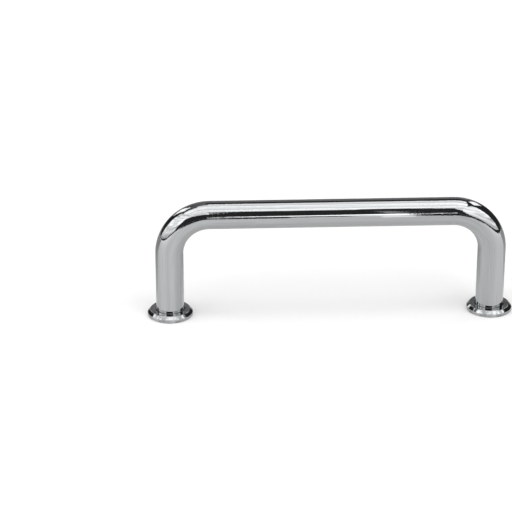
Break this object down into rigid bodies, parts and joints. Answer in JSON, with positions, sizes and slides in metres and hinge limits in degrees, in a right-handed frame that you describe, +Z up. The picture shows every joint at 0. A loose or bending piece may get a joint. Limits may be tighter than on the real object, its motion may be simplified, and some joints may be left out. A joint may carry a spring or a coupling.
{
  "type": "grab rail",
  "caption": "Chromed tubular grab rail: a low bridge with two legs and two bends, tapped feet for screws from below, and a loose bevelled collar under each foot.",
  "frame": {"origin": "on the deck, midway between the two feet", "axes": "+X along the rail towards the right foot, +Y across the rail, +Z up from the deck"},
  "size_m": [0.21, 0.026, 0.0695],
  "materials": {
    "tube_chrome": "mirror polished chrome plate",
    "plug_chrome": "chrome plate over a fine-turned face",
    "collar_chrome": "mirror polished chrome plate"
  },
  "bodies": {
    "left_collar": {"left_collar": "collar_chrome"},
    "rail": {"rail_tube": "tube_chrome", "left_end_plug": "plug_chrome", "right_end_plug": "plug_chrome"},
    "right_collar": {"right_collar": "collar_chrome"}
  },
  "joints": [
    {"name": "rail_lift", "type": "slide", "parent": "left_collar", "child": "rail", "axis": [0, 0, 1], "range_m": [0, 0.012]},
    {"name": "right_collar_release", "type": "slide", "parent": "rail", "child": "right_collar", "axis": [0, 0, -1], "range_m": [0, 0.012]}
  ],
  "couplings": [
    {"joint": "right_collar_release", "follows": "rail_lift", "ratio": 1}
  ]
}
